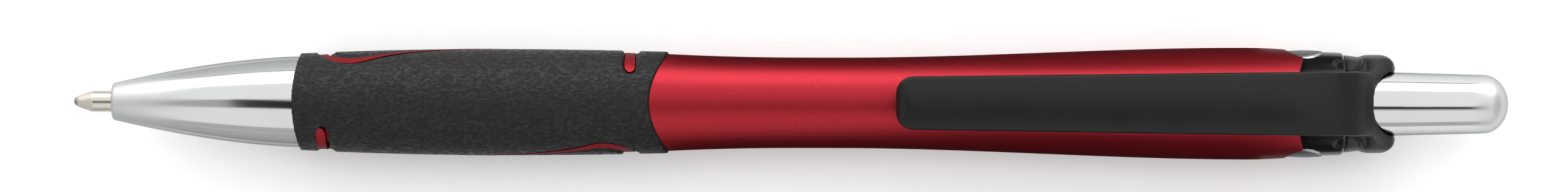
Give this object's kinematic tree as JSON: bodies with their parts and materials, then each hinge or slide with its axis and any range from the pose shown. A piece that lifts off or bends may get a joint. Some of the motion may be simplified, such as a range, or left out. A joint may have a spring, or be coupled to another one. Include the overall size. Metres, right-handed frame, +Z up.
{
  "type": "click pen",
  "caption": "Retractable ballpoint pen with a push button, click cam, sprung refill, pocket clip and a rubber grip with S-shaped slits on a waisted barrel.",
  "frame": {"origin": "middle of the pen's length, on the surface that it lies on, under its axis", "axes": "+X along the pen from the writing point to the push button, +Z up towards the clip, +Y across"},
  "size_m": [0.145, 0.0114, 0.0136],
  "materials": {
    "chrome_plate": "bright chrome plate on plastic",
    "red_lacquer": "satin metallic red lacquer",
    "black_rubber": "matt rubber with a fine leather grain",
    "black_plastic": "matt moulded",
    "white_acetal": "moulded",
    "spring_steel": "drawn wire",
    "clear_tube": "extruded",
    "ink": "liquid ink",
    "nickel_silver": "turned",
    "hard_ball": "ground"
  },
  "bodies": {
    "housing": {"barrel": "red_lacquer", "nose_cone": "chrome_plate", "grip_sleeve": "black_rubber", "cam_housing": "black_plastic", "end_cap": "black_plastic", "badge_left": "chrome_plate", "badge_right": "chrome_plate", "return_spring": "spring_steel"},
    "clip_arm": {"clip": "black_plastic"},
    "button": {"push_button": "chrome_plate", "thruster": "white_acetal"},
    "refill": {"refill_tube": "clear_tube", "ink_column": "ink", "tip_holder": "white_acetal", "writing_point": "nickel_silver"},
    "cam": {"cam_rotor": "white_acetal"},
    "ball": {"point_ball": "hard_ball"}
  },
  "joints": [
    {"name": "button_press", "type": "slide", "parent": "housing", "child": "button", "axis": [-1, 0, 0], "range_m": [-0.0056, 0.001]},
    {"name": "refill_feed", "type": "slide", "parent": "housing", "child": "refill", "axis": [-1, 0, 0], "range_m": [-0.0056, 0.001], "deforming": ["return_spring"]},
    {"name": "cam_turn", "type": "hinge", "parent": "refill", "child": "cam", "pos_m": [0.0375, 0, 0.00566], "axis": [1, 0, 0], "continuous": true},
    {"name": "ball_roll", "type": "hinge", "parent": "refill", "child": "ball", "pos_m": [-0.072, 0, 0.00566], "axis": [0, 1, 0], "continuous": true},
    {"name": "clip_flex", "type": "hinge", "parent": "housing", "child": "clip_arm", "pos_m": [0.053, 0, 0.01308], "axis": [0, 1, 0], "range_deg": [0, 3.5], "stiffness_Nm_per_rad": 0.4, "springref_deg": -2.86}
  ],
  "couplings": [
    {"joint": "refill_feed", "follows": "button_press", "ratio": 1}
  ]
}
